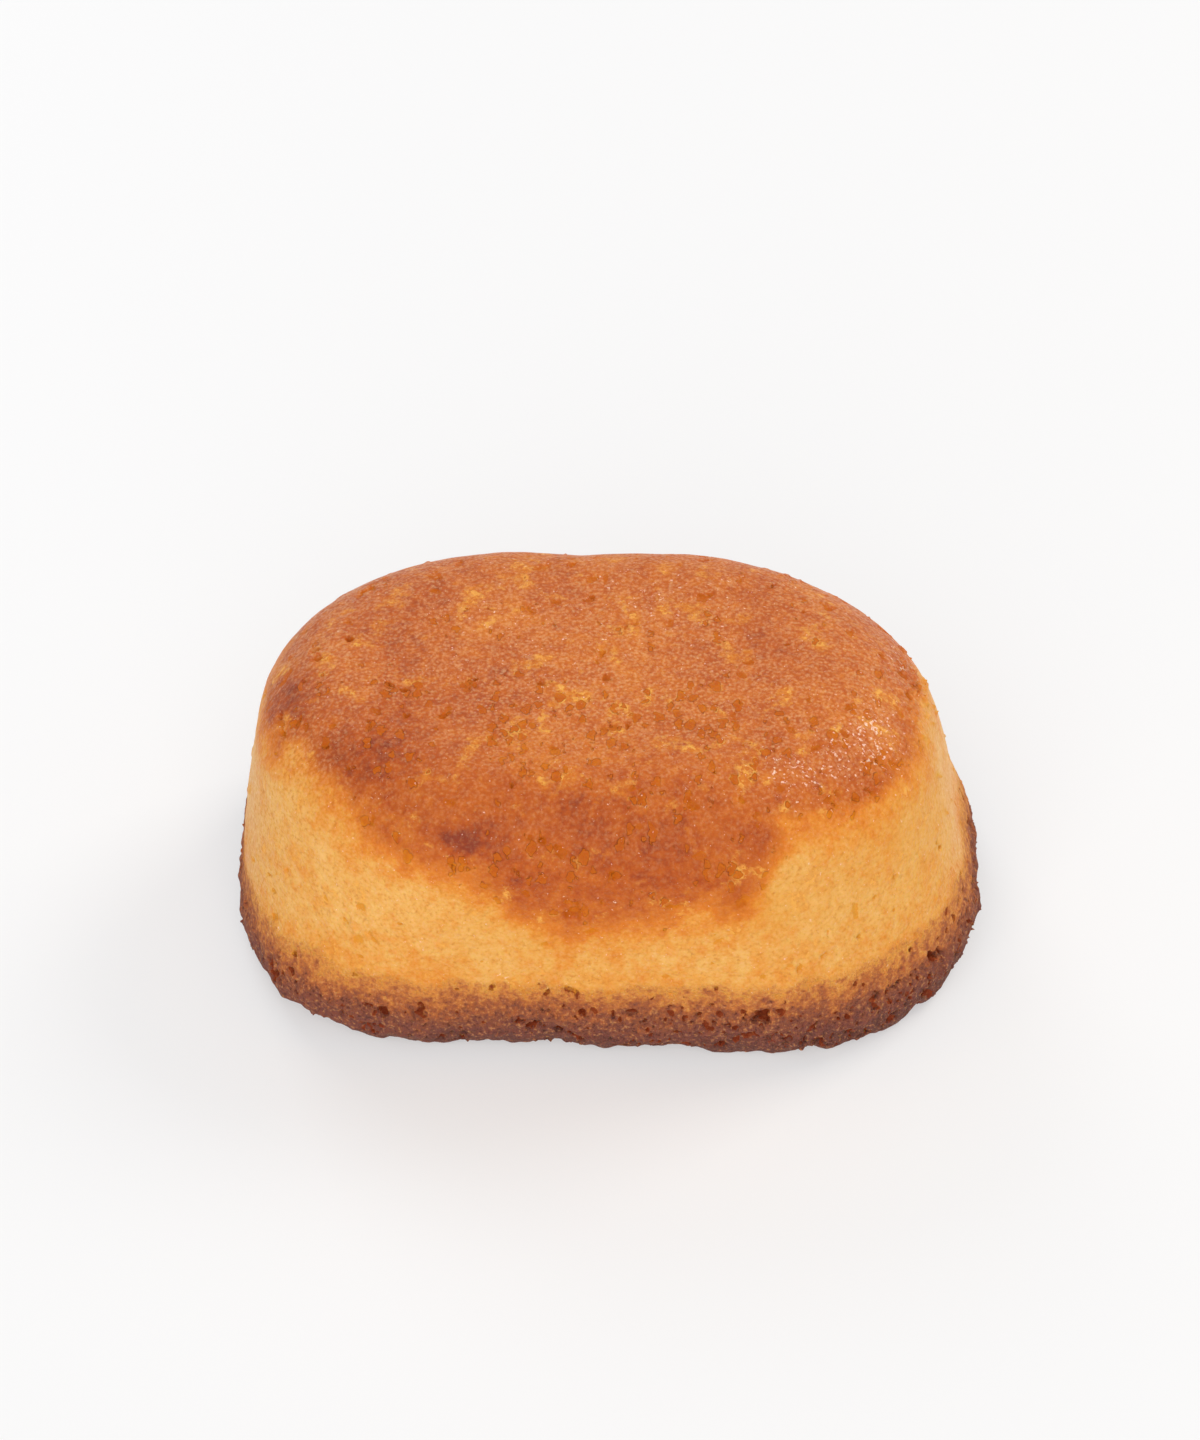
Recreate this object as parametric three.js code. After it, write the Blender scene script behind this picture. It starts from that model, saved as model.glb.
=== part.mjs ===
// A lemon cake: one small loaf, baked in a mould with wide round corners and turned out upside
// down, so that the mould's bottom shaped the smooth crown and the crust that rose in the oven
// is the dark, flat base.
//
// Units are millimetres and +Z is up. The origin is the centre of the flat base, +X runs along
// the cake and -Y is its front.

import * as THREE from "three";
import { mergeVertices } from "three/addons/utils/BufferGeometryUtils.js";

// The plan at the lip, which is the widest ring of the cake.
const LENGTH = 80;
const WIDTH = 50.8;
const LIP_CORNER = 22; // radius of its four round corners

// The section, from the table up.
const HEIGHT = 32.5;
const BASE_INSET = 1.3; // how far the base draws in under the lip
const LIP_HEIGHT = 4.4; // where the lip is widest
const LIP_TOP = 8; // where the lip has run into the wall
const LIP_PROUD = 0.6; // how far the lip stands out from the foot of the wall
const CROWN_RADIUS = 8.4; // the round edge between wall and crown

// The corners grow longer and wider towards the crown, which is nearly an oval.
const CROWN_CORNER_LENGTH = 28.8;
const CROWN_CORNER_WIDTH = 23.5;

// How far the walls lean in from upright. The right end sank a little as the cake cooled.
const SIDE_LEAN = THREE.MathUtils.degToRad(3.2);
const LEFT_END_LEAN = THREE.MathUtils.degToRad(6.5);
const RIGHT_END_LEAN = THREE.MathUtils.degToRad(14.5);

// The fineness of the faces.
const STEPS_ROUND = 96; // a multiple of 4, so that every quarter has the same number
const STEPS_PER_CURVE = 6;

const CRUST_COLOUR = 0xc98a3c;
const CRUST_ROUGHNESS = 0.6;

// The section of one upright round corner, from the middle of the base to the middle of the
// crown. x is the distance from the corner's axis and y is the height.
function cornerSection() {
  const wall = LIP_CORNER - LIP_PROUD;
  const handle = (LIP_TOP - LIP_HEIGHT) / 2;
  const baseEdge = LIP_CORNER - BASE_INSET;
  const section = new THREE.Path();
  section.moveTo(0, 0);
  section.lineTo(baseEdge, 0);
  section.absellipse(baseEdge, LIP_HEIGHT, BASE_INSET, LIP_HEIGHT, -Math.PI / 2, 0);
  section.bezierCurveTo(LIP_CORNER, LIP_HEIGHT + handle, wall, LIP_TOP - handle, wall, LIP_TOP);
  section.lineTo(wall, HEIGHT - CROWN_RADIUS);
  section.absarc(wall - CROWN_RADIUS, HEIGHT - CROWN_RADIUS, CROWN_RADIUS, 0, Math.PI / 2);
  section.lineTo(0, HEIGHT);
  return section.getPoints(STEPS_PER_CURVE);
}

// Moves one coordinate of a round cake to the loaf: the corner takes its new size, and its
// quarter is drawn out until the corner's wall stands where the loaf's wall is.
function drawOut(coordinate, cornerSize, wall) {
  return (coordinate * cornerSize) / LIP_CORNER + Math.sign(coordinate) * (wall - cornerSize);
}

// Turns a round cake's quarters into the loaf's four corners, ring by ring.
function roundToLoaf(geometry) {
  const position = geometry.getAttribute("position");
  for (let i = 0; i < position.count; i += 1) {
    const x = position.getX(i);
    const y = position.getY(i);
    const aboveLip = Math.max(0, position.getZ(i) - LIP_TOP);
    const share = aboveLip / (HEIGHT - LIP_TOP);
    const cornerLength = THREE.MathUtils.lerp(LIP_CORNER, CROWN_CORNER_LENGTH, share);
    const cornerWidth = THREE.MathUtils.lerp(LIP_CORNER, CROWN_CORNER_WIDTH, share);
    const endLean = x < 0 ? LEFT_END_LEAN : RIGHT_END_LEAN;
    const endWall = LENGTH / 2 - aboveLip * Math.tan(endLean);
    const sideWall = WIDTH / 2 - aboveLip * Math.tan(SIDE_LEAN);
    position.setX(i, drawOut(x, cornerLength, endWall));
    position.setY(i, drawOut(y, cornerWidth, sideWall));
  }
}

// The whole cake as one closed body.
function cakeGeometry() {
  const halfStep = Math.PI / STEPS_ROUND; // keeps every corner's vertices off the X and Y axes
  const turned = new THREE.LatheGeometry(cornerSection(), STEPS_ROUND, halfStep);
  turned.rotateX(Math.PI / 2);
  turned.deleteAttribute("normal");
  turned.deleteAttribute("uv");
  const cake = mergeVertices(turned);
  snapPolesToAxis(cake);
  roundToLoaf(cake);
  cake.computeVertexNormals();
  return cake;
}

// The turned body's two end points carry rounding errors, which would be drawn apart too.
function snapPolesToAxis(geometry) {
  const tiny = 1e-6;
  const position = geometry.getAttribute("position");
  for (let i = 0; i < position.count; i += 1) {
    if (Math.abs(position.getX(i)) < tiny) position.setX(i, 0);
    if (Math.abs(position.getY(i)) < tiny) position.setY(i, 0);
  }
}

const crust = new THREE.MeshStandardMaterial({
  color: CRUST_COLOUR,
  roughness: CRUST_ROUGHNESS,
  metalness: 0,
});

const lemonCake = new THREE.Mesh(cakeGeometry(), crust);
lemonCake.name = "lemon_cake";

const part = new THREE.Group();
part.add(lemonCake);

export default part;
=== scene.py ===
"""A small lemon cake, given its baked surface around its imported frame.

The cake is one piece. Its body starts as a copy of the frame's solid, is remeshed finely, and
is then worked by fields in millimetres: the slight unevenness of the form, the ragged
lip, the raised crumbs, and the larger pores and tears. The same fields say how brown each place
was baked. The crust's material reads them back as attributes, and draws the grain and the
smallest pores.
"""

import functools
import itertools
import logging
import math
from dataclasses import dataclass
from enum import Enum
from typing import Any

import bmesh
import bpy
import numpy as np
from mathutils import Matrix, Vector
from mathutils.kdtree import KDTree


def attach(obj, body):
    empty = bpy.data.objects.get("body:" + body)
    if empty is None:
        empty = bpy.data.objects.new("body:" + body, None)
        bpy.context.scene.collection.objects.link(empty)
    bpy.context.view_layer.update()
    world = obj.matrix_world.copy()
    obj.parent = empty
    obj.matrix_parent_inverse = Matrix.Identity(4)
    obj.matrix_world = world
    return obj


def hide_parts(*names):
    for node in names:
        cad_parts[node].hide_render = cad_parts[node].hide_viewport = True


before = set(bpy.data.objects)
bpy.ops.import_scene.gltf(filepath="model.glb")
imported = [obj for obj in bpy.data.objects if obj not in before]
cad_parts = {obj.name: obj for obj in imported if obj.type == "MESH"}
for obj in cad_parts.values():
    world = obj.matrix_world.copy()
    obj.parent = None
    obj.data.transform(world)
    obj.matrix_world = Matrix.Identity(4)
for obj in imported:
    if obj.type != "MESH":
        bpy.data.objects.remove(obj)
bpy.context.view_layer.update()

logging.basicConfig(level=logging.INFO, format="%(message)s")
log = logging.getLogger("lemon_cake")

CAD_NODE = "lemon_cake"
PIECE = "baked_cake"
BAKE_MAP = "OFBake"
FIELDS = ("browning", "painted_sheen", "porous", "oily", "sparkle", "lip", "pore")
MM = 0.001
SEED = 7

Points = np.ndarray
Values = np.ndarray
Socket = bpy.types.NodeSocket
Ramp = tuple[float, float, float, float]
Stops = tuple[tuple[float, str], ...]
Swings = tuple[tuple[str, float], ...]


def linear(hex_colour: str) -> tuple[float, float, float, float]:
    """Turns an sRGB hex colour into linear red, green, blue and alpha.

    Args:
        hex_colour: six hex digits, such as "e8a855".

    Returns:
        The linear colour with an alpha of 1.
    """
    shares = [int(hex_colour[i : i + 2], 16) / 255 for i in (0, 2, 4)]
    red, green, blue = (s / 12.92 if s <= 0.04045 else ((s + 0.055) / 1.055) ** 2.4 for s in shares)
    return red, green, blue, 1.0


def cells_per_metre(size_mm: float) -> float:
    """Gives the texture scale whose features measure size_mm."""
    return 1000 / size_mm


class Grain:
    """Smooth seeded noise in space, the same on every run."""

    TABLE = 256
    FULL_SWING = 1.6  # brings the noise up to about -1 to 1

    def __init__(self, seed: int) -> None:
        """Draws the tables that the noise is read from.

        Args:
            seed: the number that this noise differs from others by.
        """
        draw = np.random.default_rng(seed)
        self.order = draw.permutation(self.TABLE)
        slopes = draw.normal(size=(self.TABLE, 3))
        self.slopes = slopes / np.linalg.norm(slopes, axis=1, keepdims=True)

    def _slope(self, cell: np.ndarray) -> np.ndarray:
        """Looks up the slope that belongs to each lattice point.

        Args:
            cell: the lattice points, as whole numbers.

        Returns:
            One direction for each of them.
        """
        x, y, z = (cell[:, i] % self.TABLE for i in range(3))
        first = self.order[x]
        second = self.order[(first + y) % self.TABLE]
        return self.slopes[self.order[(second + z) % self.TABLE]]

    def once(self, points: Points, size_mm: float) -> Values:
        """One layer of noise.

        Args:
            points: places in millimetres.
            size_mm: about how far apart its hills are.

        Returns:
            One number from about -1 to 1 for each place.
        """
        scaled = points / size_mm
        cell = np.floor(scaled).astype(int)
        part = scaled - cell
        fade = part**3 * (part * (part * 6 - 15) + 10)  # gradient noise's usual smooth curve
        total = np.zeros(len(points))
        for corner in itertools.product((0, 1), repeat=3):
            share = np.prod(np.where(corner, fade, 1 - fade), axis=1)
            total += share * np.einsum("ij,ij->i", self._slope(cell + corner), part - corner)
        return total * self.FULL_SWING

    def layers(self, points: Points, size_mm: float, count: int) -> Values:
        """Noise with finer layers on it, each half as large and half as strong.

        Args:
            points: places in millimetres.
            size_mm: the size of the coarsest layer.
            count: how many layers.

        Returns:
            One number from about -1 to 1 for each place.
        """
        return sum(self.once(points, size_mm / 2**i) / 2**i for i in range(count))


@dataclass(frozen=True)
class Wobble:
    """A use of the noise: which one it is, its size in millimetres, its layers and its swing."""

    number: int
    size: float
    layers: int
    swing: float = 1.0

    def at(self, points: Points) -> Values:
        """Gives the noise at each place, from about minus its swing to its swing."""
        return self.swing * Grain(SEED + self.number).layers(points, self.size, self.layers)


@dataclass(frozen=True)
class Fade:
    """A smooth change from 0 at one value to an amount at another, which may be the lower one."""

    start: float
    end: float
    amount: float = 1.0

    def at(self, value: Values) -> Values:
        """Gives the fade at each value.

        Args:
            value: the numbers to look up.

        Returns:
            One number from 0 to the amount for each value.
        """
        share = np.clip((value - self.start) / (self.end - self.start), 0, 1)
        return self.amount * (share * share * (3 - 2 * share))


@dataclass(frozen=True)
class Patch:
    """A soft round patch on the cake, where something is more or less than around it."""

    centre: tuple[float, float, float]
    reach: tuple[float, float, float]
    amount: float

    def at(self, points: Points) -> Values:
        """Gives the patch's share at each place, strongest at its centre."""
        away = (points - np.array(self.centre)) / np.array(self.reach)
        return self.amount * np.exp(-np.einsum("ij,ij->i", away, away))


def sum_of(patches: tuple[Patch, ...], points: Points) -> Values:
    """Adds up several patches at each place."""
    return sum((patch.at(points) for patch in patches), np.zeros(len(points)))


@dataclass(frozen=True)
class RimLine:
    """A height that changes on the way around the cake, as (degrees from +X, millimetres)."""

    stops: tuple[tuple[float, float], ...]

    def height(self, points: Points) -> Values:
        """Gives the line's height at the bearing of each place.

        Args:
            points: places in millimetres.

        Returns:
            One height for each of them.
        """
        bearing = np.degrees(np.arctan2(points[:, 1], points[:, 0]))
        angles, heights = zip(*self.stops)
        return np.interp(bearing, angles, heights, period=360)


class Zone(Enum):
    """The parts of the surface that carry marks of their own."""

    CROWN = "crown"
    LIP = "lip"
    TORN_RIM = "torn_rim"
    WALL = "wall"


@dataclass(frozen=True)
class MarkKind:
    """A family of pores, or of crumbs that stand out. Sizes are millimetres.

    A width is a half width, and a depth below 0 is a crumb's height.
    """

    zone: Zone
    number: int
    width: tuple[float, float]
    stretch: tuple[float, float]
    depth: tuple[float, float]


@dataclass
class CakeBody:
    """The cake's fine mesh and the fields that shape and brown it. Sizes are millimetres."""

    voxel: float = 0.25
    merge_distance: float = 0.001
    most_triangles: int = 190_000

    # The lip's outline: half of its straight sides, and its round corners.
    straight: tuple[float, float] = (18.0, 3.4)
    rim_radius: float = 22.0

    # The form's unevenness.
    swells: tuple[Patch, ...] = (
        Patch((8, 17, 31), (12, 9, 7), 0.15),
        Patch((-4, 20, 31), (4, 6, 6), -0.3),
        Patch((-36, 6, 26), (5, 7, 6), -0.4),
        Patch((-38, -8, 14), (6, 9, 9), -0.3),
        Patch((-39, -6, 5), (5, 7, 5), -0.45),
        Patch((-29, -20, 3), (7, 6, 5), 0.8),
        Patch((-31, -19, 4), (5, 5, 5), 0.5),
        Patch((38, 2, 13), (5, 9, 5), -0.7),
        Patch((33, 8, 26), (6, 7, 8), -0.1),
        Patch((39, -3, 5), (5, 7, 3), 0.35),
        Patch((10, -22, 20), (12, 6, 8), 0.25),
    )
    waves: Wobble = Wobble(3, 16.0, 2, 0.22)
    lumps: Wobble = Wobble(4, 4.0, 2, 0.07)
    lip_grain: Wobble = Wobble(5, 1.2, 2, 0.12)
    lip_rags: Wobble = Wobble(6, 3.4, 3, 0.42)
    lip_rough: Fade = Fade(0.3, 0.6)
    off_table: Fade = Fade(0.2, 2.5)

    # How far the lip's foot is off the table.
    lift: float = 0.3
    lift_wobble: Wobble = Wobble(8, 4.6, 4, 0.95)
    lift_flatness: float = 0.35
    front_lift: Patch = Patch((-3, -25, 0), (15, 7, 9), 0.6)
    lift_near_rim: Fade = Fade(5.0, 0.8)
    lift_near_foot: Fade = Fade(6.5, 0.0)

    # How brown a place is, from 0 to 1, by its height over the browned line. Well inside the
    # rim, the crown counts as higher.
    browned_line: RimLine = RimLine(
        (
            (-180, 26.0), (-172, 26.5), (-166, 28.5), (-163, 31.0), (-153, 31.2), (-150, 29.4),
            (-146, 27.4), (-134, 26.2), (-122, 25.0), (-115, 22.6), (-108, 19.8), (-98, 18.2),
            (-85, 17.8), (-76, 19.4), (-67, 20.6), (-59, 22.0), (-54, 22.8), (-50, 27.0),
            (-45, 29.2), (-32, 29.0), (-13, 29.4), (-3, 29.6), (8, 28.8), (20, 26.5),
            (40, 24.0), (60, 22.0), (80, 20.0), (95, 21.5), (110, 24.0), (130, 22.5),
            (150, 25.0), (170, 27.0),
        )
    )
    line_drift: Wobble = Wobble(0, 5.0, 4, 2.2)
    crown_rise: Fade = Fade(6.0, 9.0, 3.5)
    pale: float = 0.13
    clouds: Wobble = Wobble(1, 9.0, 3)
    cloud_browning: float = 0.06
    warm_band: Fade = Fade(-8, 1, 0.2)
    brown_band: Fade = Fade(-2.6, 3.2, 0.39)
    patch_band: Fade = Fade(-4, 2)
    brown_patches: tuple[Patch, ...] = (
        Patch((-34, -5, 30), (5, 7, 5), 0.16),
        Patch((-26, 10, 32), (6, 6, 6), 0.08),
        Patch((-20, -4, 32), (9, 10, 8), 0.1),
        Patch((-24, -15, 30), (6, 5, 5), 0.14),
        Patch((-13.8, -21.9, 28.4), (3.2, 1.9, 1.4), 0.3),
        Patch((-6, -20, 30), (7, 4, 5), 0.06),
        Patch((7, -21, 26), (9, 4, 5), 0.11),
        Patch((-6, -22, 24), (6, 4, 3), 0.08),
        Patch((16, 3, 32), (6, 6, 6), 0.08),
        Patch((12, 13, 32), (8, 4, 6), 0.06),
        Patch((-28, 1, 32), (4, 4, 5), -0.1),
        Patch((-3, -14, 32), (5, 3, 5), -0.12),
        Patch((-1, 4, 32), (11, 9, 5), -0.06),
        Patch((29, -3, 31), (6, 8, 5), -0.10),
        Patch((25, 14, 31), (6, 5, 5), -0.08),
        Patch((19, -21, 25), (3, 4, 4), 0.10),
    )

    # The lip's crust, by the height over its line.
    lip_line: RimLine = RimLine(
        (
            (-180, 5.2), (-120, 5.8), (-85, 5.8), (-60, 6.4), (-40, 6.8), (-20, 7.0),
            (0, 7.0), (45, 6.4), (90, 6.0), (135, 6.2),
        )
    )
    lip_drift: Wobble = Wobble(2, 3.2, 4, 1.1)
    lip_glow: Fade = Fade(10.5, 2.0, 0.16)
    lip_fade: float = 10.0

    # Painted sheen: the crumbs' painted highlights and shade are strongest on top, and weaker at the
    # front and where the skin is darkest.
    sheen_height: Fade = Fade(25.5, 30.5)
    sheen_cloud: float = 1.5
    front_sheen_loss: Fade = Fade(-6, -21, 0.75)
    dark_sheen_loss: Fade = Fade(0.75, 0.95)
    oily_patches: tuple[Patch, ...] = (
        Patch((35, -10, 22), (8, 13, 9), 1.0),
        Patch((20, -23, 21), (8, 4, 4), 0.6),
        Patch((-9, -25, 17), (8, 4, 4), 0.3),
        Patch((0, 20, 27), (22, 8, 7), 0.5),
    )
    # Where the painted glints gather.
    sparkling_patches: tuple[Patch, ...] = (
        Patch((28, -7, 31), (3.2, 4.5, 4), 1.0),
        Patch((19, -14, 31), (4, 2.2, 3), 0.8),
        Patch((24, -11, 31), (3, 3, 3), 0.5),
        Patch((31, 7, 29), (3, 5, 4), 0.5),
        Patch((5, 12, 32), (9, 4, 4), 0.3),
        Patch((-14, 7, 32), (5, 6, 4), 0.2),
    )

    # Pores come in clumps, and there are more of them at the front and where it is brown.
    least_porous: float = 0.2
    pores_when_brown: Fade = Fade(0.2, 0.6)
    pores_at_front: Fade = Fade(10, -12)
    back_pores: float = 0.5
    pore_clumps: Wobble = Wobble(9, 7.0, 2)
    clump_edge: Fade = Fade(-0.5, 0.6)
    lone_pores: float = 0.3

    # The marks, and how likely they are in each zone.
    mark_kinds: tuple[MarkKind, ...] = (
        MarkKind(Zone.CROWN, 140, (0.4, 0.75), (1.2, 2.2), (0.2, 0.45)),
        MarkKind(Zone.CROWN, 260, (0.3, 0.55), (1.0, 1.8), (-0.15, -0.05)),
        MarkKind(Zone.LIP, 620, (0.18, 0.45), (1.0, 1.9), (0.25, 0.7)),
        MarkKind(Zone.LIP, 80, (0.45, 0.9), (1.0, 1.9), (0.6, 1.3)),
        MarkKind(Zone.LIP, 420, (0.2, 0.4), (1.0, 1.5), (-0.3, -0.1)),
        MarkKind(Zone.TORN_RIM, 60, (0.3, 0.5), (1.0, 1.6), (-0.4, -0.15)),
        MarkKind(Zone.WALL, 120, (0.25, 0.55), (1.2, 2.4), (0.12, 0.35)),
        MarkKind(Zone.WALL, 160, (0.3, 0.6), (1.0, 2.2), (-0.2, -0.08)),
    )
    crown_browned: Fade = Fade(0.4, 0.55)
    crown_foot: float = 15.0
    torn_rim: Patch = Patch((34.0, 3, 28.5), (2.2, 5, 3), 1.0)
    wall_pale: Fade = Fade(0.45, 0.3)
    wall_foot: Fade = Fade(7.0, 8.5)
    wall_top: Fade = Fade(21, 16)
    lip_crusted: Fade = Fade(0.25, 0.6)
    lip_foot: float = 1.0
    lip_right: Fade = Fade(-20, 25)
    left_marks: float = 0.35
    mark_rags: Wobble = Wobble(10, 0.9, 2, 0.7)
    mark_edge: Fade = Fade(1.0, 0.3)
    mark_margin: float = 1.5
    mark_slant: float = 0.25

    # The flat map: shares of its side for each millimetre, and where its four islands lie. A
    # face belongs to the crown or the base if it looks up or down enough and lies there.
    wall_scale: float = 0.0082
    crown_scale: float = 0.0079
    base_scale: float = 0.0049
    map_middle: float = 0.5
    front_strip: float = 0.012
    back_strip: float = 0.327
    crown_place: tuple[float, float] = (0.305, 0.816)
    base_place: tuple[float, float] = (0.8, 0.816)
    crown_facing: float = 0.6
    crown_above: float = 20.0
    base_facing: float = -0.55
    base_below: float = 8.0
    inward_share: float = 0.5

    def build(self) -> bpy.types.Object:
        """Makes the cake's finished mesh with its attributes.

        Returns:
            The cake, at the origin, with its place in its mesh.
        """
        cake = self._fine_copy()
        points, normals = self._read(cake)
        fields = self._bake(points)
        points = self._shape(points, normals, fields)
        points = self._mark(points, normals, fields)
        points[:, 2] = np.maximum(points[:, 2], 0)
        cake.data.vertices.foreach_set("co", (points * MM).ravel())
        for name in FIELDS:
            attribute = cake.data.attributes.new(name, "FLOAT", "POINT")
            attribute.data.foreach_set("value", fields[name])
        self._thin_out(cake)
        self._unwrap(cake)
        cake.data.shade_smooth()
        return cake

    def _fine_copy(self) -> bpy.types.Object:
        """Copies the frame's solid, merges it and remeshes it into small even faces.

        Returns:
            The copy, as the cake's own object.
        """
        bm = bmesh.new()
        bm.from_mesh(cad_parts[CAD_NODE].data)
        bmesh.ops.remove_doubles(bm, verts=bm.verts, dist=self.merge_distance * MM)
        bmesh.ops.recalc_face_normals(bm, faces=bm.faces)
        mesh = bpy.data.meshes.new(PIECE)
        bm.to_mesh(mesh)
        bm.free()
        cake = bpy.data.objects.new(PIECE, mesh)
        bpy.context.scene.collection.objects.link(cake)
        remesh = cake.modifiers.new("even_faces", "REMESH")
        remesh.mode = "VOXEL"
        remesh.voxel_size = self.voxel * MM
        self._apply(cake)
        return cake

    @staticmethod
    def _apply(cake: bpy.types.Object) -> None:
        """Turns the cake's modifiers into mesh.

        Args:
            cake: the cake, which gets the new mesh.
        """
        evaluated = cake.evaluated_get(bpy.context.evaluated_depsgraph_get())
        mesh = bpy.data.meshes.new_from_object(evaluated)
        cake.modifiers.clear()
        cake.data = mesh
        mesh.name = PIECE

    @staticmethod
    def _read(cake: bpy.types.Object) -> tuple[Points, Points]:
        """Reads the cake's mesh.

        Args:
            cake: the cake.

        Returns:
            Its vertices, in millimetres, and their normals.
        """
        count = len(cake.data.vertices)
        points = np.empty(count * 3, np.float32)
        normals = np.empty(count * 3, np.float32)
        cake.data.vertices.foreach_get("co", points)
        cake.data.vertex_normals.foreach_get("vector", normals)
        return points.reshape(-1, 3).astype(float) / MM, normals.reshape(-1, 3).astype(float)

    def _bake(self, points: Points) -> dict[str, Values]:
        """Works out how each place baked, and where sheen and glints are painted.

        Args:
            points: the vertices, in millimetres.

        Returns:
            Each field's name and its values from 0 to 1. The lip's is a half at its line.
        """
        _, y, z = points.T
        cloud = self.clouds.at(points)
        above = z - self.browned_line.height(points) + self.line_drift.at(points)
        above += self.crown_rise.at(self._rim_distance(points))
        over_lip = z - self.lip_line.height(points) + self.lip_drift.at(points)
        browning = self.pale + self.cloud_browning * cloud + self.warm_band.at(above)
        browning += self.brown_band.at(above)
        browning += sum_of(self.brown_patches, points) * self.patch_band.at(above)
        browning += self.lip_glow.at(over_lip)
        # Painted sheen: strongest on top, and fading at the front and where the skin is darkest.
        painted_sheen = self.sheen_height.at(z + self.sheen_cloud * cloud)
        painted_sheen *= 1 - self.front_sheen_loss.at(y)
        painted_sheen *= 1 - self.dark_sheen_loss.at(browning)
        return {
            "browning": np.clip(browning, 0, 1),
            "painted_sheen": painted_sheen,
            "porous": np.clip(self._porous(points, browning) + self.least_porous, 0, 1),
            "oily": np.clip(sum_of(self.oily_patches, points), 0, 1),
            "sparkle": np.clip(sum_of(self.sparkling_patches, points), 0, 1),
            "lip": np.clip(0.5 - over_lip / self.lip_fade, 0, 1),
            "pore": np.zeros(len(points)),
        }

    def _porous(self, points: Points, browning: Values) -> Values:
        """Says how many pores each place has over the fewest.

        Args:
            points: the vertices, in millimetres.
            browning: how brown they are.

        Returns:
            One number from 0 to 1 for each vertex.
        """
        clumps = self.clump_edge.at(self.pore_clumps.at(points))
        clumps = self.lone_pores + (1 - self.lone_pores) * clumps
        front = self.back_pores + (1 - self.back_pores) * self.pores_at_front.at(points[:, 1])
        return self.pores_when_brown.at(browning) * clumps * front

    def _rim_distance(self, points: Points) -> Values:
        """Gives how far each place is inside the lip's outline, seen from above."""
        from_corner = np.maximum(np.abs(points[:, :2]) - np.array(self.straight), 0)
        return self.rim_radius - np.hypot(from_corner[:, 0], from_corner[:, 1])

    def _shape(self, points: Points, normals: Points, fields: dict[str, Values]) -> Points:
        """Moves the surface off the mould's even form.

        Args:
            points: the vertices, in millimetres.
            normals: their outward directions.
            fields: how each place baked.

        Returns:
            The moved vertices.
        """
        rough = self.lip_rough.at(fields["lip"])
        out = sum_of(self.swells, points) + self.waves.at(points) + self.lumps.at(points)
        out += rough * self.lip_grain.at(points)
        out += rough * self.lip_rags.at(points)
        moved = points + normals * (out * self.off_table.at(points[:, 2]))[:, None]
        moved[:, 2] += self._lift(points)
        return moved

    def _lift(self, points: Points) -> Values:
        """Raises the lip's foot here and there, so that it doesn't meet the table in a line.

        Args:
            points: the vertices, in millimetres.

        Returns:
            How far each of them is raised.
        """
        flat = points * np.array([1, 1, self.lift_flatness])
        lift = self.lift + self.front_lift.at(points) + self.lift_wobble.at(flat)
        near_rim = self.lift_near_rim.at(self._rim_distance(points))
        return np.maximum(lift, 0) * near_rim * self.lift_near_foot.at(points[:, 2])

    def _share(self, zone: Zone, points: Points, fields: dict[str, Values]) -> Values:
        """Says how likely a mark is at each place.

        Args:
            zone: the zone that the mark belongs to.
            points: the vertices, in millimetres.
            fields: how each place baked.

        Returns:
            One number from 0 to 1 for each vertex.
        """
        x, _, z = points.T
        if zone is Zone.CROWN:
            browned = self.crown_browned.at(fields["browning"])
            return browned * (z > self.crown_foot) * fields["porous"]
        if zone is Zone.TORN_RIM:
            return self.torn_rim.at(points)
        if zone is Zone.WALL:
            return self.wall_pale.at(fields["browning"]) * self.wall_foot.at(z) * self.wall_top.at(z)
        right = self.left_marks + (1 - self.left_marks) * self.lip_right.at(x)
        return self.lip_crusted.at(fields["lip"]) * (z > self.lip_foot) * right

    def _mark(self, points: Points, normals: Points, fields: dict[str, Values]) -> Points:
        """Presses the pores into the surface, raises the crumbs and notes the pores.

        Args:
            points: the vertices, in millimetres.
            normals: their outward directions.
            fields: how each place baked. Its pore values are raised.

        Returns:
            The moved vertices.
        """
        tree = KDTree(len(points))
        for index, place in enumerate(points):
            tree.insert(place, index)
        tree.balance()
        draw = np.random.default_rng(SEED)
        rags = self.mark_rags.at(points)
        moved = np.zeros_like(points)
        strongest = np.zeros(len(points))
        for kind in self.mark_kinds:
            share = self._share(kind.zone, points, fields)
            middles = draw.choice(len(points), kind.number, replace=False, p=share / share.sum())
            for middle in middles:
                # Most marks of a kind are narrow.
                width = kind.width[0] + (kind.width[1] - kind.width[0]) * draw.random() ** 2
                length = width * draw.uniform(*kind.stretch)
                depth = draw.uniform(*kind.depth)
                found = tree.find_range(points[middle], length * self.mark_margin)
                near = np.array([hit[1] for hit in found])
                inward = -normals[middle] + draw.normal(scale=self.mark_slant, size=3)
                along = np.cross(normals[middle], draw.normal(size=3))
                along /= np.linalg.norm(along)
                across = np.cross(normals[middle], along)
                away = points[near] - points[middle]
                reach = np.hypot(away @ along / length, away @ across / width) + rags[near]
                strength = self.mark_edge.at(reach)
                stronger = np.abs(depth) * strength > strongest[near]
                chosen = near[stronger]
                sunk = depth * strength[stronger]
                strongest[chosen] = np.abs(sunk)
                moved[chosen] = inward * sunk[:, None]
                if depth > 0:
                    fields["pore"][near] = np.maximum(fields["pore"][near], strength)
        return points + moved

    def _thin_out(self, cake: bpy.types.Object) -> None:
        """Merges faces where the surface is plain, until the cake is under its face limit.

        Args:
            cake: the cake, which gets the thinner mesh.
        """
        triangles = sum(len(face.vertices) - 2 for face in cake.data.polygons)
        thin = cake.modifiers.new("thin_out", "DECIMATE")
        thin.ratio = min(1.0, self.most_triangles / triangles)
        self._apply(cake)

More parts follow.
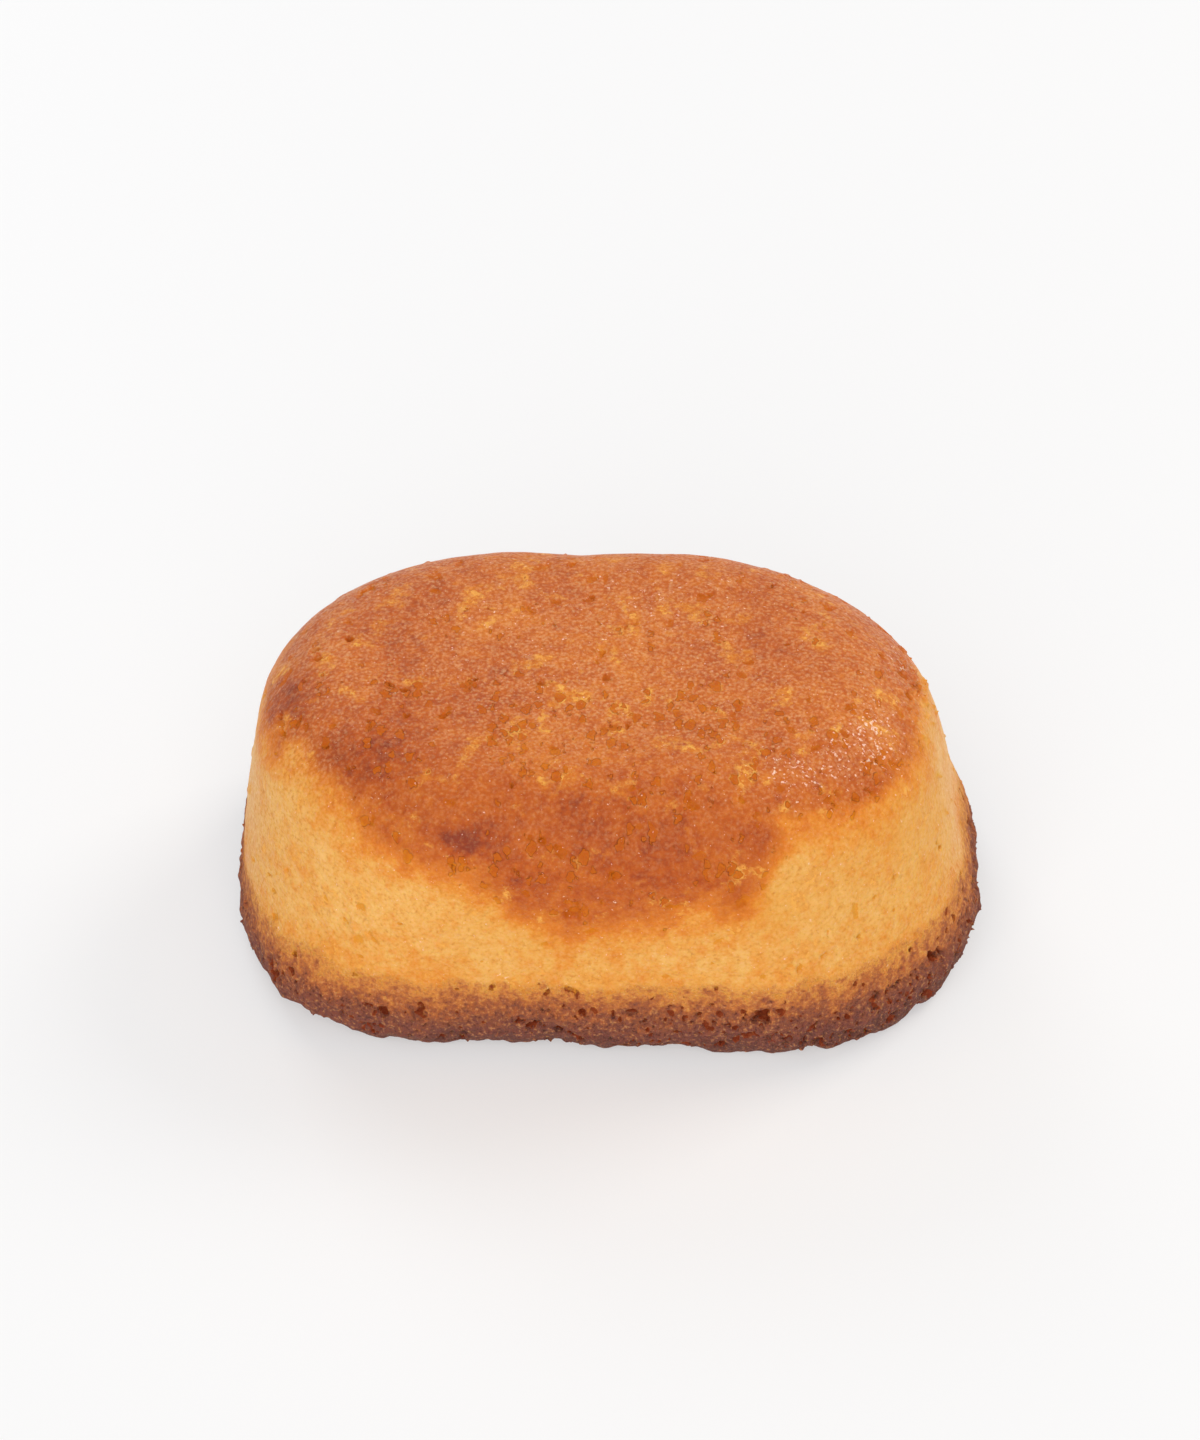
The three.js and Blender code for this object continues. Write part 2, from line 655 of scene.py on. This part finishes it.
    def _unwrap(self, cake: bpy.types.Object) -> None:
        """Lays the surface out flat for baking: the front and back walls, the crown and the base.

        The walls are unrolled along the lip, and the crown and the base are seen straight on.

        Args:
            cake: the cake, whose mesh gets the map.
        """
        mesh = cake.data
        points, _ = self._read(cake)
        corners = np.empty(len(mesh.loops), np.int32)
        mesh.loops.foreach_get("vertex_index", corners)
        sides = np.empty(len(mesh.polygons), np.int32)
        mesh.polygons.foreach_get("loop_total", sides)
        facing = np.empty(len(mesh.polygons) * 3, np.float32)
        mesh.polygons.foreach_get("normal", facing)
        up = np.repeat(facing[2::3], sides)
        middles = np.empty(len(mesh.polygons) * 3, np.float32)
        mesh.polygons.foreach_get("center", middles)
        middles = np.repeat(middles.reshape(-1, 3) / MM, sides, axis=0)
        x, y, z = points[corners].T

        side = np.where(middles[:, 1] < 0, -1, 1)
        length, width = self.straight
        inner_x, inner_y = np.clip(x, -length, length), np.clip(y * side, -width, width)
        turn = np.arctan2(x - inner_x, y * side - inner_y)
        along = inner_x + self.rim_radius * turn + np.sign(x - inner_x) * (width - inner_y)
        across = self.map_middle - side * along * self.wall_scale
        rise = z + self.inward_share * self._rim_distance(points)[corners]
        low = np.where(side < 0, self.front_strip, self.back_strip)
        walls = np.stack([across, low + rise * self.wall_scale], 1)
        crown = np.stack([x, y], 1) * self.crown_scale + np.array(self.crown_place)
        base = np.stack([x, -y], 1) * self.base_scale + np.array(self.base_place)
        is_crown = ((up > self.crown_facing) & (middles[:, 2] > self.crown_above))[:, None]
        is_base = ((up < self.base_facing) & (middles[:, 2] < self.base_below))[:, None]
        places = np.where(is_crown, crown, np.where(is_base, base, walls))
        flat = mesh.uv_layers.new(name=BAKE_MAP)
        flat.uv.foreach_set("vector", places.astype(np.float32).ravel())


def add_node(tree: bpy.types.NodeTree, kind: str, inputs: Any, **settings: Any) -> bpy.types.Node:
    """Adds one node to a material, with its settings and links.

    Args:
        tree: the material's node tree.
        kind: the node's type, without the words that all of them start with.
        inputs: what the inputs get, in order or by name: a value, or a socket to link from.
        settings: the node's own properties, and the stops of a colour ramp as (place, colour).

    Returns:
        The new node.
    """
    node = tree.nodes.new("ShaderNode" + kind)
    stops = settings.pop("stops", ())
    for name, value in settings.items():
        setattr(node, name, value)
    for key, value in inputs.items() if isinstance(inputs, dict) else enumerate(inputs):
        if isinstance(value, Socket):
            tree.links.new(value, node.inputs[key])
        else:
            node.inputs[key].default_value = value
    for index, (place, hex_colour) in enumerate(stops):
        elements = node.color_ramp.elements
        element = elements[index] if index < len(elements) else elements.new(place)
        element.position = place
        element.color = linear(hex_colour)
    return node


@dataclass(frozen=True)
class BakedCrust:
    """Baked butter cake: a fine, faintly oily crumb that lets a little light in.

    The eye gets a matt, grainy skin with a soft orange depth, moist pores and a few glints. The
    glints, the crumbs' highlights and the shade in their gaps and pores are painted into the colour.
    The colours run from the pale wall to the browned crown, with a dry dark crust at the lip. Sizes
    are millimetres. A ramp is (from, to, low, high): it is low at from and high at to.
    """

    # Each noise's size and detail. The finest crumbs measure about 0.2 mm, too fine to show, so
    # crumb, speck and grit are drawn about twice as coarse.
    noises: tuple[tuple[str, float, float], ...] = (
        ("crumb", 0.36, 3.0),
        ("speck", 0.42, 2.0),
        ("grain", 0.9, 3.0),
        ("mottle", 2.2, 3.0),
        ("cloud", 8.0, 2.0),
        ("tears", 3.4, 4.0),
    )
    noise_roughness: float = 0.6
    noise_span: tuple[float, float] = (0.3, 0.7)
    grit: float = 0.42
    grit_ramp: Ramp = (0.2, 0.9, 0.13, -0.13)

    # The browned skin, and the oil in it.
    level_swings: Swings = (("cloud", 0.06), ("mottle", 0.08), ("grain", 0.08))
    bake_colours: Stops = (
        (0.0, "edb966"),
        (0.14, "e6a950"),
        (0.24, "e39a3c"),
        (0.34, "e08b2a"),
        (0.46, "d6761c"),
        (0.58, "cd701e"),
        (0.7, "c15f18"),
        (0.84, "b04c12"),
        (1.0, "8a341c"),
    )
    moist_colours: Stops = (
        (0.2, "de942a"),
        (0.45, "da7f0a"),
        (0.75, "c25f03"),
    )
    soaked: float = 0.5

    # The torn places.
    tear_ramp: Ramp = (0.56, 0.66, 0.0, 1.0)
    untorn_ramp: Ramp = (0.74, 0.84, 1.0, 0.0)
    torn_tint: float = 0.45
    fleck_ramp: Ramp = (0.52, 0.56, 0.0, 0.7)
    torn_colour: str = "d9822c"
    torn_crumb_colour: str = "f1b254"

    # The crumbs, with painted highlights on their tops and painted shade in the gaps between them.
    crumb_highlight_ramp: Ramp = (0.46, 0.8, 0.06, 0.46)
    crumb_shade_ramp: Ramp = (0.46, 0.22, 0.0, 0.42)
    crumb_contrast: Ramp = (0.15, 0.5, 0.84, 0.3)
    sheen_contrast: float = 0.75
    oil_dulling: Ramp = (0.0, 1.0, 1.0, 0.5)
    # Painted highlight on the crumb tops, and painted shade in the crumb gaps and at the bottoms of
    # the smallest pores.
    painted_highlight_colour: str = "f0bd88"
    painted_shade_colour: str = "ac4604"

    # The pores that are pressed into the mesh.
    pore_swings: Swings = (("grain", 0.4), ("speck", 0.25))
    pore_edge: Ramp = (0.4, 0.5, 0.0, 0.85)
    pore_clip: float = 6.0

    # The smallest pores, which are drawn. Each sits in a cell, and is part of it.
    small_pore_cell: float = 1.15
    small_pore_rags: float = 1.2
    small_pore_rag_size: float = 0.8
    small_pore_squash: tuple[float, float, float] = (1.0, 0.62, 0.62)
    small_pore_chance: Ramp = (0.0, 1.0, -1.0, -0.05)
    small_pore_width: Ramp = (0.0, 0.6, -0.16, 0.46)
    small_pore_edge: Ramp = (0.0, 0.05, 0.0, 0.95)
    small_pore_rim: Ramp = (-0.16, -0.03, 0.0, 0.55)
    # Painted shade, darkening the smallest pores towards their middles.
    small_pore_shade: Ramp = (0.06, 0.28, 0.0, 0.32)

    # Painted glints: highlights of the oil, drawn into the colour.
    glint_gain: float = 0.16
    glint_ramp: Ramp = (0.69, 0.78, 0.0, 0.75)
    glint_colour: str = "ffdcc8"

    # The dry crust of the lip.
    lip_swings: Swings = (("grain", -0.16), ("speck", -0.08))
    lip_colours: Stops = (
        (0.04, "e9a44e"),
        (0.16, "dc9046"),
        (0.28, "c4763c"),
        (0.42, "a85e38"),
        (0.56, "8f523a"),
        (0.76, "80493c"),
        (1.0, "6f443a"),
    )
    lip_crumb_ramp: Ramp = (0.56, 0.7, 0.0, 0.5)
    lip_hollow_ramp: Ramp = (0.42, 0.3, 0.0, 0.6)
    lip_deep_ramp: Ramp = (0.35, 0.6, 0.0, 1.0)
    lip_start: Ramp = (0.0, 0.2, 0.0, 1.0)
    lip_near: Ramp = (0.0, 0.12, 0.0, 1.0)
    lip_crumb_colour: str = "d8965e"
    lip_hollow_colour: str = "4c2418"
    lip_pore_colour: str = "8a3410"

    # Gloss, and heights of the grain.
    crumb_roughness: Ramp = (0.3, 0.7, 0.55, 0.33)
    lip_roughness: float = 0.75
    crumb_height: float = 0.14
    grain_height: float = 0.5
    lip_coarseness: Ramp = (0.0, 1.0, 0.6, 1.5)
    small_pore_depth: float = 0.3

    # Butter and sugar bend light a little more than water does. Red goes deepest into crumb.
    ior: float = 1.42
    specular: float = 0.2
    light_inside: float = 0.3
    light_reach: float = 1.4
    light_colours: tuple[float, float, float] = (1.0, 0.42, 0.12)

    def build(self) -> bpy.types.Material:
        """Makes the crust's material.

        Returns:
            The material, for the whole cake.
        """
        material = bpy.data.materials.new("baked_butter_cake_crust")
        material.use_nodes = True
        tree = material.node_tree
        tree.nodes.clear()
        colour, rough, normal = CrustPattern(tree, self).draw()
        shader = add_node(
            tree,
            "BsdfPrincipled",
            {
                "Base Color": colour,
                "Roughness": rough,
                "Normal": normal,
                "IOR": self.ior,
                "Specular IOR Level": self.specular,
                "Subsurface Weight": self.light_inside,
                "Subsurface Radius": self.light_colours,
                "Subsurface Scale": self.light_reach * MM,
            },
            subsurface_method="RANDOM_WALK",
        )
        add_node(tree, "OutputMaterial", {"Surface": shader.outputs["BSDF"]})
        return material


class CrustPattern:
    """The crust's pattern, as nodes that read the baking fields and noises at each place."""

    def __init__(self, tree: bpy.types.NodeTree, crust: BakedCrust) -> None:
        """Adds the nodes that the whole pattern reads.

        Args:
            tree: the material's node tree.
            crust: the finish, with its sizes, ramps and colours.
        """
        self.node = node = functools.partial(add_node, tree)
        self.crust = crust
        self.place = place = node("TexCoord", ()).outputs["Object"]
        self.field = {
            name: node("Attribute", (), attribute_name=name).outputs["Fac"] for name in FIELDS
        }
        self.noise = {
            name: node(
                "TexNoise",
                {
                    "Vector": place,
                    "Scale": cells_per_metre(size),
                    "Detail": detail,
                    "Roughness": crust.noise_roughness,
                },
            ).outputs["Fac"]
            for name, size, detail in crust.noises
        }

    def draw(self) -> tuple[Socket, Socket, Socket]:
        """Draws the crust.

        Returns:
            Its colour, its roughness and its normal.
        """
        node, crust = self.node, self.crust
        level = self._swayed(self.field["browning"], crust.level_swings)
        moist = node("ValToRGB", (level,), stops=crust.moist_colours).outputs[0]
        torn = self._torn(level)
        crumb = self._crumb()
        inside = self._small_pores()
        small = node("MapRange", (inside, *crust.small_pore_edge)).outputs[0]
        hole = node("Math", (self._large_pores(), small), operation="MAXIMUM").outputs[0]

        colour = self._skin(level, moist, torn)
        colour = self._crumbs(colour, level, torn, crumb)
        colour = self._pores(colour, moist, torn, inside, hole)
        colour = self._glints(colour)
        lip, dry = self._lip(hole)
        colour = node("Mix", {0: dry, 6: colour, 7: lip}, data_type="RGBA").outputs[2]

        rough = node("MapRange", (crumb, *crust.crumb_roughness)).outputs[0]
        rough = node("Mix", {0: dry, 2: rough, 3: crust.lip_roughness}).outputs[0]
        return colour, rough, self._bumps(crumb, small, dry)

    def _swayed(self, value: Socket, swings: Swings) -> Socket:
        """Adds noises to a value.

        Args:
            value: what they are added to.
            swings: each noise's name, and how far it takes the value up and down.

        Returns:
            The sum.
        """
        for name, swing in swings:
            ramp = (*self.crust.noise_span, -swing, swing)
            drift = self.node("MapRange", (self.noise[name], *ramp)).outputs[0]
            value = self.node("Math", (value, drift), operation="ADD").outputs[0]
        return value

    def _torn(self, level: Socket) -> Socket:
        """Says where the skin stayed behind in the mould. It never did where it is dark.

        Args:
            level: how brown the skin is.

        Returns:
            How torn it is, from 0 to 1.
        """
        node, crust = self.node, self.crust
        torn = node("MapRange", (self.noise["tears"], *crust.tear_ramp)).outputs[0]
        light = node("MapRange", (level, *crust.untorn_ramp)).outputs[0]
        return node("Math", (torn, light), operation="MULTIPLY").outputs[0]

    def _crumb(self) -> Socket:
        """Draws the crumbs.

        Returns:
            Their height, which is high in their middles and low in the gaps.
        """
        scale = cells_per_metre(self.crust.grit)
        grit = self.node("TexVoronoi", {"Vector": self.place, "Scale": scale}).outputs["Distance"]
        drift = self.node("MapRange", (grit, *self.crust.grit_ramp)).outputs[0]
        return self.node("Math", (self.noise["crumb"], drift), operation="ADD").outputs[0]

    def _skin(self, level: Socket, moist: Socket, torn: Socket) -> Socket:
        """Colours the browned skin.

        Args:
            level: how brown it is.
            moist: the colour of moist crumb, which oil brings it near to.
            torn: where it is torn, and yellower.

        Returns:
            The skin's colour.
        """
        node, crust = self.node, self.crust
        colour = node("ValToRGB", (level,), stops=crust.bake_colours).outputs[0]
        oil = node("Math", (self.field["oily"], crust.soaked), operation="MULTIPLY").outputs[0]
        colour = node("Mix", {0: oil, 6: colour, 7: moist}, data_type="RGBA").outputs[2]
        share = node("Math", (torn, crust.torn_tint), operation="MULTIPLY").outputs[0]
        torn_skin = linear(crust.torn_colour)
        return node("Mix", {0: share, 6: colour, 7: torn_skin}, data_type="RGBA").outputs[2]

    def _crumbs(self, colour: Socket, level: Socket, torn: Socket, crumb: Socket) -> Socket:
        """Paints highlights on each crumb's top and shade in the gaps between them, by the crumbs'
        height.

        Args:
            colour: the skin's colour.
            level: how brown it is.
            torn: where it is torn, and yellow crumbs stand out.
            crumb: the height of the crumbs.

        Returns:
            The new colour.
        """
        node, crust = self.node, self.crust
        # Painted light: high crumbs get a paler top as a painted highlight, yellow where the skin is
        # torn, and low gaps get painted shade.
        crumb_highlight = node("MapRange", (crumb, *crust.crumb_highlight_ramp)).outputs[0]
        crumb_shade = node("MapRange", (crumb, *crust.crumb_shade_ramp)).outputs[0]
        share = node("MapRange", (level, *crust.crumb_contrast)).outputs[0]
        # Painted sheen strengthens the crumbs' painted highlights and shade.
        dry = (self.field["painted_sheen"], crust.sheen_contrast)
        dry = node("Math", dry, operation="MULTIPLY").outputs[0]
        share = node("Math", (share, dry), operation="ADD").outputs[0]
        dull = node("MapRange", (self.field["oily"], *crust.oil_dulling)).outputs[0]
        share = node("Math", (share, dull), operation="MULTIPLY").outputs[0]
        crumb_highlight = node("Math", (crumb_highlight, share), operation="MULTIPLY").outputs[0]
        crumb_shade = node("Math", (crumb_shade, share), operation="MULTIPLY").outputs[0]
        fleck = node("MapRange", (self.noise["grain"], *crust.fleck_ramp)).outputs[0]
        fleck = node("Math", (fleck, torn), operation="MULTIPLY").outputs[0]
        pale, yellow = linear(crust.painted_highlight_colour), linear(crust.torn_crumb_colour)
        pale = node("Mix", {0: torn, 6: pale, 7: yellow}, data_type="RGBA").outputs[2]
        for amount, tint in ((crumb_highlight, pale), (crumb_shade, linear(crust.painted_shade_colour)), (fleck, yellow)):
            colour = node("Mix", {0: amount, 6: colour, 7: tint}, data_type="RGBA").outputs[2]
        return colour

    def _large_pores(self) -> Socket:
        """Gives the pores that are pressed into the mesh a crisp ragged edge.

        Returns:
            How much of a place is pore, from 0 to 1.
        """
        node, crust = self.node, self.crust
        pore = self.field["pore"]
        hole = self._swayed(pore, crust.pore_swings)
        hole = node("MapRange", (hole, *crust.pore_edge)).outputs[0]
        inside = (pore, crust.pore_clip)
        inside = node("Math", inside, operation="MULTIPLY", use_clamp=True).outputs[0]
        return node("Math", (hole, inside), operation="MULTIPLY").outputs[0]

    def _small_pores(self) -> Socket:
        """Scatters crisp angular pores, drawn out along the cake's depth and height.

        Returns:
            How far inside a pore a place is, as a share of a cell. It is below 0 between them.
        """
        node, crust = self.node, self.crust
        scale = cells_per_metre(crust.small_pore_rag_size)
        rags = node("TexNoise", {"Vector": self.place, "Scale": scale, "Detail": 1.0})
        rags = (rags.outputs["Color"], (0.5, 0.5, 0.5))
        shift = node("VectorMath", rags, operation="SUBTRACT").outputs[0]
        shift = (shift, (crust.small_pore_rags * MM,) * 3)
        shift = node("VectorMath", shift, operation="MULTIPLY").outputs[0]
        warped = node("VectorMath", (self.place, shift), operation="ADD").outputs[0]
        warped = (warped, crust.small_pore_squash)
        warped = node("VectorMath", warped, operation="MULTIPLY").outputs[0]
        scale = cells_per_metre(crust.small_pore_cell)
        cells = node("TexVoronoi", {"Vector": warped, "Scale": scale}, feature="F1")
        chance = node("SeparateColor", (cells.outputs["Color"],)).outputs[0]
        reach = node("MapRange", (self.field["porous"], *crust.small_pore_chance)).outputs[0]
        reach = node("Math", (chance, reach), operation="ADD").outputs[0]
        reach = node("MapRange", (reach, *crust.small_pore_width)).outputs[0]
        return node("Math", (reach, cells.outputs["Distance"]), operation="SUBTRACT").outputs[0]

    def _pores(
        self, colour: Socket, moist: Socket, torn: Socket, inside: Socket, hole: Socket
    ) -> Socket:
        """Colours the pores, which are moist, with painted shade that darkens them inwards.

        Args:
            colour: the colour between the pores.
            moist: the colour of moist crumb.
            torn: where the skin is torn, and pores have a yellow edge.
            inside: how far inside a small pore each place is.
            hole: where the pores are.

        Returns:
            The new colour.
        """
        node, crust = self.node, self.crust
        rim = node("MapRange", (inside, *crust.small_pore_rim)).outputs[0]
        rim = node("Math", (rim, torn), operation="MULTIPLY").outputs[0]
        # Painted shade: a small pore's colour darkens towards its middle.
        pore_shade = node("MapRange", (inside, *crust.small_pore_shade)).outputs[0]
        deep = {0: pore_shade, 6: moist, 7: linear(crust.painted_shade_colour)}
        deep = node("Mix", deep, data_type="RGBA").outputs[2]
        for amount, tint in ((rim, linear(crust.torn_crumb_colour)), (hole, deep)):
            colour = node("Mix", {0: amount, 6: colour, 7: tint}, data_type="RGBA").outputs[2]
        return colour

    def _glints(self, colour: Socket) -> Socket:
        """Paints the oil's highlights as glints on single crumbs, mostly in the sparkling patches.

        Args:
            colour: the colour under the glints.

        Returns:
            The new colour.
        """
        node, crust = self.node, self.crust
        gain = (self.field["sparkle"], crust.glint_gain)
        gain = node("Math", gain, operation="MULTIPLY").outputs[0]
        raised = node("Math", (self.noise["speck"], gain), operation="ADD").outputs[0]
        glint = node("MapRange", (raised, *crust.glint_ramp)).outputs[0]
        # Painted highlight: a pale glint colour mixed into the surface colour.
        tint = linear(crust.glint_colour)
        return node("Mix", {0: glint, 6: colour, 7: tint}, data_type="RGBA").outputs[2]

    def _lip(self, hole: Socket) -> tuple[Socket, Socket]:
        """Darkens the crust of the lip downwards, crumb by crumb.

        Args:
            hole: where the pores are.

        Returns:
            The crust's colour, and how much of it each place has.
        """
        node, crust, speck = self.node, self.crust, self.noise["speck"]
        depth = self._swayed(self.field["lip"], crust.lip_swings)
        colour = node("ValToRGB", (depth,), stops=crust.lip_colours).outputs[0]
        raised = node("MapRange", (speck, *crust.lip_crumb_ramp)).outputs[0]
        hollow = node("MapRange", (speck, *crust.lip_hollow_ramp)).outputs[0]
        deep = node("MapRange", (depth, *crust.lip_deep_ramp)).outputs[0]
        hollow = node("Math", (hollow, deep), operation="MULTIPLY").outputs[0]
        for amount, hex_colour in (
            (raised, crust.lip_crumb_colour),
            (hollow, crust.lip_hollow_colour),
            (hole, crust.lip_pore_colour),
        ):
            tint = linear(hex_colour)
            colour = node("Mix", {0: amount, 6: colour, 7: tint}, data_type="RGBA").outputs[2]
        dry = node("MapRange", (depth, *crust.lip_start)).outputs[0]
        near = node("MapRange", (self.field["lip"], *crust.lip_near)).outputs[0]
        dry = node("Math", (dry, near), operation="MULTIPLY").outputs[0]
        return colour, dry

    def _bumps(self, crumb: Socket, small: Socket, dry: Socket) -> Socket:
        """Raises the grain and sinks the smallest pores.

        Args:
            crumb: the height of the crumbs.
            small: where the smallest pores are.
            dry: where the lip's crust is, which is coarser.

        Returns:
            The surface's normal.
        """
        node, crust = self.node, self.crust
        height = node("Math", (crumb, crust.crumb_height), operation="MULTIPLY").outputs[0]
        swell = (self.noise["grain"], crust.grain_height)
        swell = node("Math", swell, operation="MULTIPLY").outputs[0]
        height = node("Math", (height, swell), operation="ADD").outputs[0]
        coarse = node("MapRange", (dry, *crust.lip_coarseness)).outputs[0]
        height = node("Math", (height, coarse), operation="MULTIPLY").outputs[0]
        sunk = node("Math", (small, crust.small_pore_depth), operation="MULTIPLY").outputs[0]
        height = node("Math", (height, sunk), operation="SUBTRACT").outputs[0]
        return node("Bump", {"Strength": 1.0, "Distance": MM, "Height": height}).outputs["Normal"]


@dataclass(frozen=True)
class Softbox:
    """One large square light, turned to the cake. Sizes are metres."""

    name: str
    place: tuple[float, float, float]
    size: float
    watts: float
    colour: str

    def hang(self) -> None:
        """Hangs the light in its place."""
        lamp = bpy.data.lights.new(self.name, "AREA")
        lamp.size = self.size
        lamp.energy = self.watts
        lamp.color = linear(self.colour)[:3]
        light = bpy.data.objects.new(self.name, lamp)
        light.location = self.place
        light.rotation_euler = Vector(self.place).to_track_quat("Z", "Y").to_euler()
        bpy.context.scene.collection.objects.link(light)


@dataclass
class Studio:
    """The plain floor, the soft lights and the camera. Sizes are metres, angles are degrees."""

    # The floor lies just under the base, so that the two don't share a plane.
    floor_size: float = 12.0
    floor_height: float = -0.05 * MM
    floor_colour: str = "b0b0b0"
    floor_roughness: float = 0.5
    floor_glow_colour: str = "fefeff"
    floor_glow: float = 0.44

    # The room is brighter to look at than the light that it gives.
    room_colour: str = "f5f6f8"
    room_light: float = 0.58
    room_seen: float = 0.9
    softboxes: tuple[Softbox, ...] = (
        Softbox("right_window", (0.55, 0.42, 0.62), 0.4, 3.3, "fffaf2"),
        Softbox("left_window", (-0.4, 0.75, 0.55), 0.4, 1.9, "fafcff"),
        Softbox("front_bounce", (-0.1, -0.75, 0.55), 1.0, 5.8, "fffdfa"),
    )

    azimuth: float = 2.2
    elevation: float = 45.0
    distance: float = 0.62
    lens: float = 141.8
    aim_up: float = 0.01827
    aim_left: float = 0.00079

    def build(self) -> None:
        """Makes everything around the cake."""
        self._floor()
        self._room()
        for softbox in self.softboxes:
            softbox.hang()
        self._camera()
        bpy.context.scene.view_settings.view_transform = "Standard"

    def _floor(self) -> None:
        """Lays a plain pale floor at the height where the cake rests."""
        bm = bmesh.new()
        bmesh.ops.create_grid(bm, x_segments=1, y_segments=1, size=self.floor_size / 2)
        mesh = bpy.data.meshes.new("pale_floor")
        bm.to_mesh(mesh)
        bm.free()
        floor = bpy.data.objects.new("pale_floor", mesh)
        floor.location.z = self.floor_height
        bpy.context.scene.collection.objects.link(floor)
        material = bpy.data.materials.new("pale_matt_paint")
        material.use_nodes = True
        shader = material.node_tree.nodes["Principled BSDF"]
        shader.inputs["Base Color"].default_value = linear(self.floor_colour)
        shader.inputs["Roughness"].default_value = self.floor_roughness
        shader.inputs["Emission Color"].default_value = linear(self.floor_glow_colour)
        shader.inputs["Emission Strength"].default_value = self.floor_glow
        mesh.materials.append(material)

    def _room(self) -> None:
        """Fills the room with pale light from everywhere."""
        world = bpy.data.worlds.new("pale_room")
        world.use_nodes = True
        tree = world.node_tree
        background = tree.nodes["Background"]
        background.inputs["Color"].default_value = linear(self.room_colour)
        seen = add_node(tree, "LightPath", ()).outputs["Is Camera Ray"]
        strengths = (0.0, 1.0, self.room_light, self.room_seen)
        strength = add_node(tree, "MapRange", (seen, *strengths)).outputs[0]
        tree.links.new(strength, background.inputs["Strength"])
        bpy.context.scene.world = world

    def _camera(self) -> None:
        """Sets the camera up in front of the cake, looking down on it."""
        azimuth, elevation = math.radians(self.azimuth), math.radians(self.elevation)
        back = Vector(
            (
                math.sin(azimuth) * math.cos(elevation),
                -math.cos(azimuth) * math.cos(elevation),
                math.sin(elevation),
            )
        )
        right = Vector((math.cos(azimuth), math.sin(azimuth), 0))
        place = back * self.distance
        aim = back.cross(right) * self.aim_up - right * self.aim_left
        data = bpy.data.cameras.new("camera")
        data.lens = self.lens
        camera = bpy.data.objects.new("camera", data)
        camera.location = place
        camera.rotation_euler = (place - aim).to_track_quat("Z", "Y").to_euler()
        bpy.context.scene.collection.objects.link(camera)
        bpy.context.scene.camera = camera


def main() -> None:
    """Builds the cake and its studio, and notes the cake's number of faces."""
    cake = CakeBody().build()
    cake.data.materials.clear()
    cake.data.materials.append(BakedCrust().build())
    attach(cake, "root")
    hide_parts(CAD_NODE)
    log.info("%s: %d faces", cake.name, len(cake.data.polygons))
    Studio().build()
    log.info("studio: floor, lights and camera")


if __name__ == "__main__":
    main()
